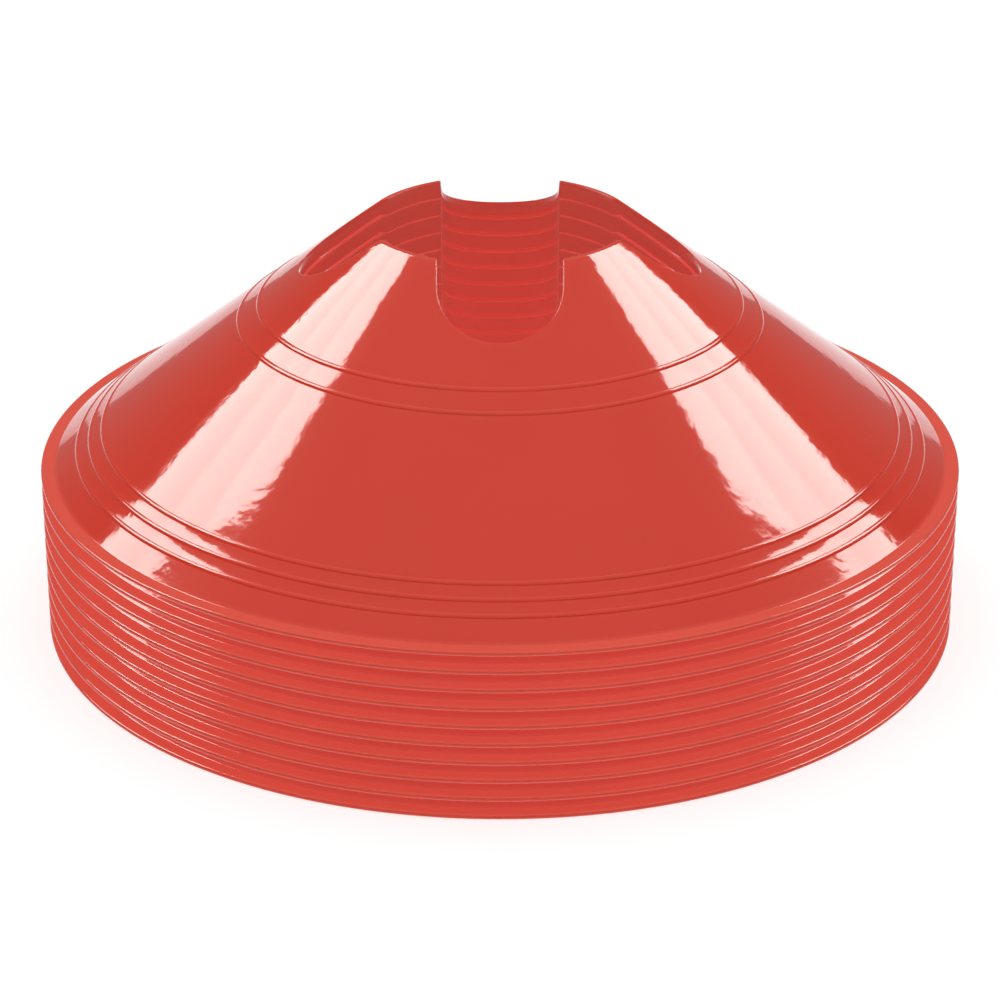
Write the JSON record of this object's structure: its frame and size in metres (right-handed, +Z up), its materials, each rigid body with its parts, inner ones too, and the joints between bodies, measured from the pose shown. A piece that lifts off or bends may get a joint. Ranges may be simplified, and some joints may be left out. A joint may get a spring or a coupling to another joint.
{
  "type": "nested stack of disc marker cones",
  "caption": "Nested stack of low disc marker cones with a thin round brim, ring ridges and a notched opening at the top; each cone lifts off the one below.",
  "frame": {"origin": "on the stack's axis, on the ground under the lowest cone's brim", "axes": "+Z up along the stack's axis; one notch faces each of +X, -X, +Y and -Y"},
  "size_m": [0.19, 0.19, 0.0851],
  "materials": {
    "red_plastic": "gloss"
  },
  "bodies": {
    "cone_01": {"cone_01": "red_plastic"},
    "cone_02": {"cone_02": "red_plastic"},
    "cone_03": {"cone_03": "red_plastic"},
    "cone_04": {"cone_04": "red_plastic"},
    "cone_05": {"cone_05": "red_plastic"},
    "cone_06": {"cone_06": "red_plastic"},
    "cone_07": {"cone_07": "red_plastic"},
    "cone_08": {"cone_08": "red_plastic"},
    "cone_09": {"cone_09": "red_plastic"},
    "cone_10": {"cone_10": "red_plastic"}
  },
  "joints": [
    {"name": "lift_02", "type": "slide", "parent": "cone_01", "child": "cone_02", "axis": [0, 0, 1], "range_m": [0, 0.06]},
    {"name": "lift_03", "type": "slide", "parent": "cone_02", "child": "cone_03", "axis": [0, 0, 1], "range_m": [0, 0.06]},
    {"name": "lift_04", "type": "slide", "parent": "cone_03", "child": "cone_04", "axis": [0, 0, 1], "range_m": [0, 0.06]},
    {"name": "lift_05", "type": "slide", "parent": "cone_04", "child": "cone_05", "axis": [0, 0, 1], "range_m": [0, 0.06]},
    {"name": "lift_06", "type": "slide", "parent": "cone_05", "child": "cone_06", "axis": [0, 0, 1], "range_m": [0, 0.06]},
    {"name": "lift_07", "type": "slide", "parent": "cone_06", "child": "cone_07", "axis": [0, 0, 1], "range_m": [0, 0.06]},
    {"name": "lift_08", "type": "slide", "parent": "cone_07", "child": "cone_08", "axis": [0, 0, 1], "range_m": [0, 0.06]},
    {"name": "lift_09", "type": "slide", "parent": "cone_08", "child": "cone_09", "axis": [0, 0, 1], "range_m": [0, 0.06]},
    {"name": "lift_10", "type": "slide", "parent": "cone_09", "child": "cone_10", "axis": [0, 0, 1], "range_m": [0, 0.06]}
  ]
}
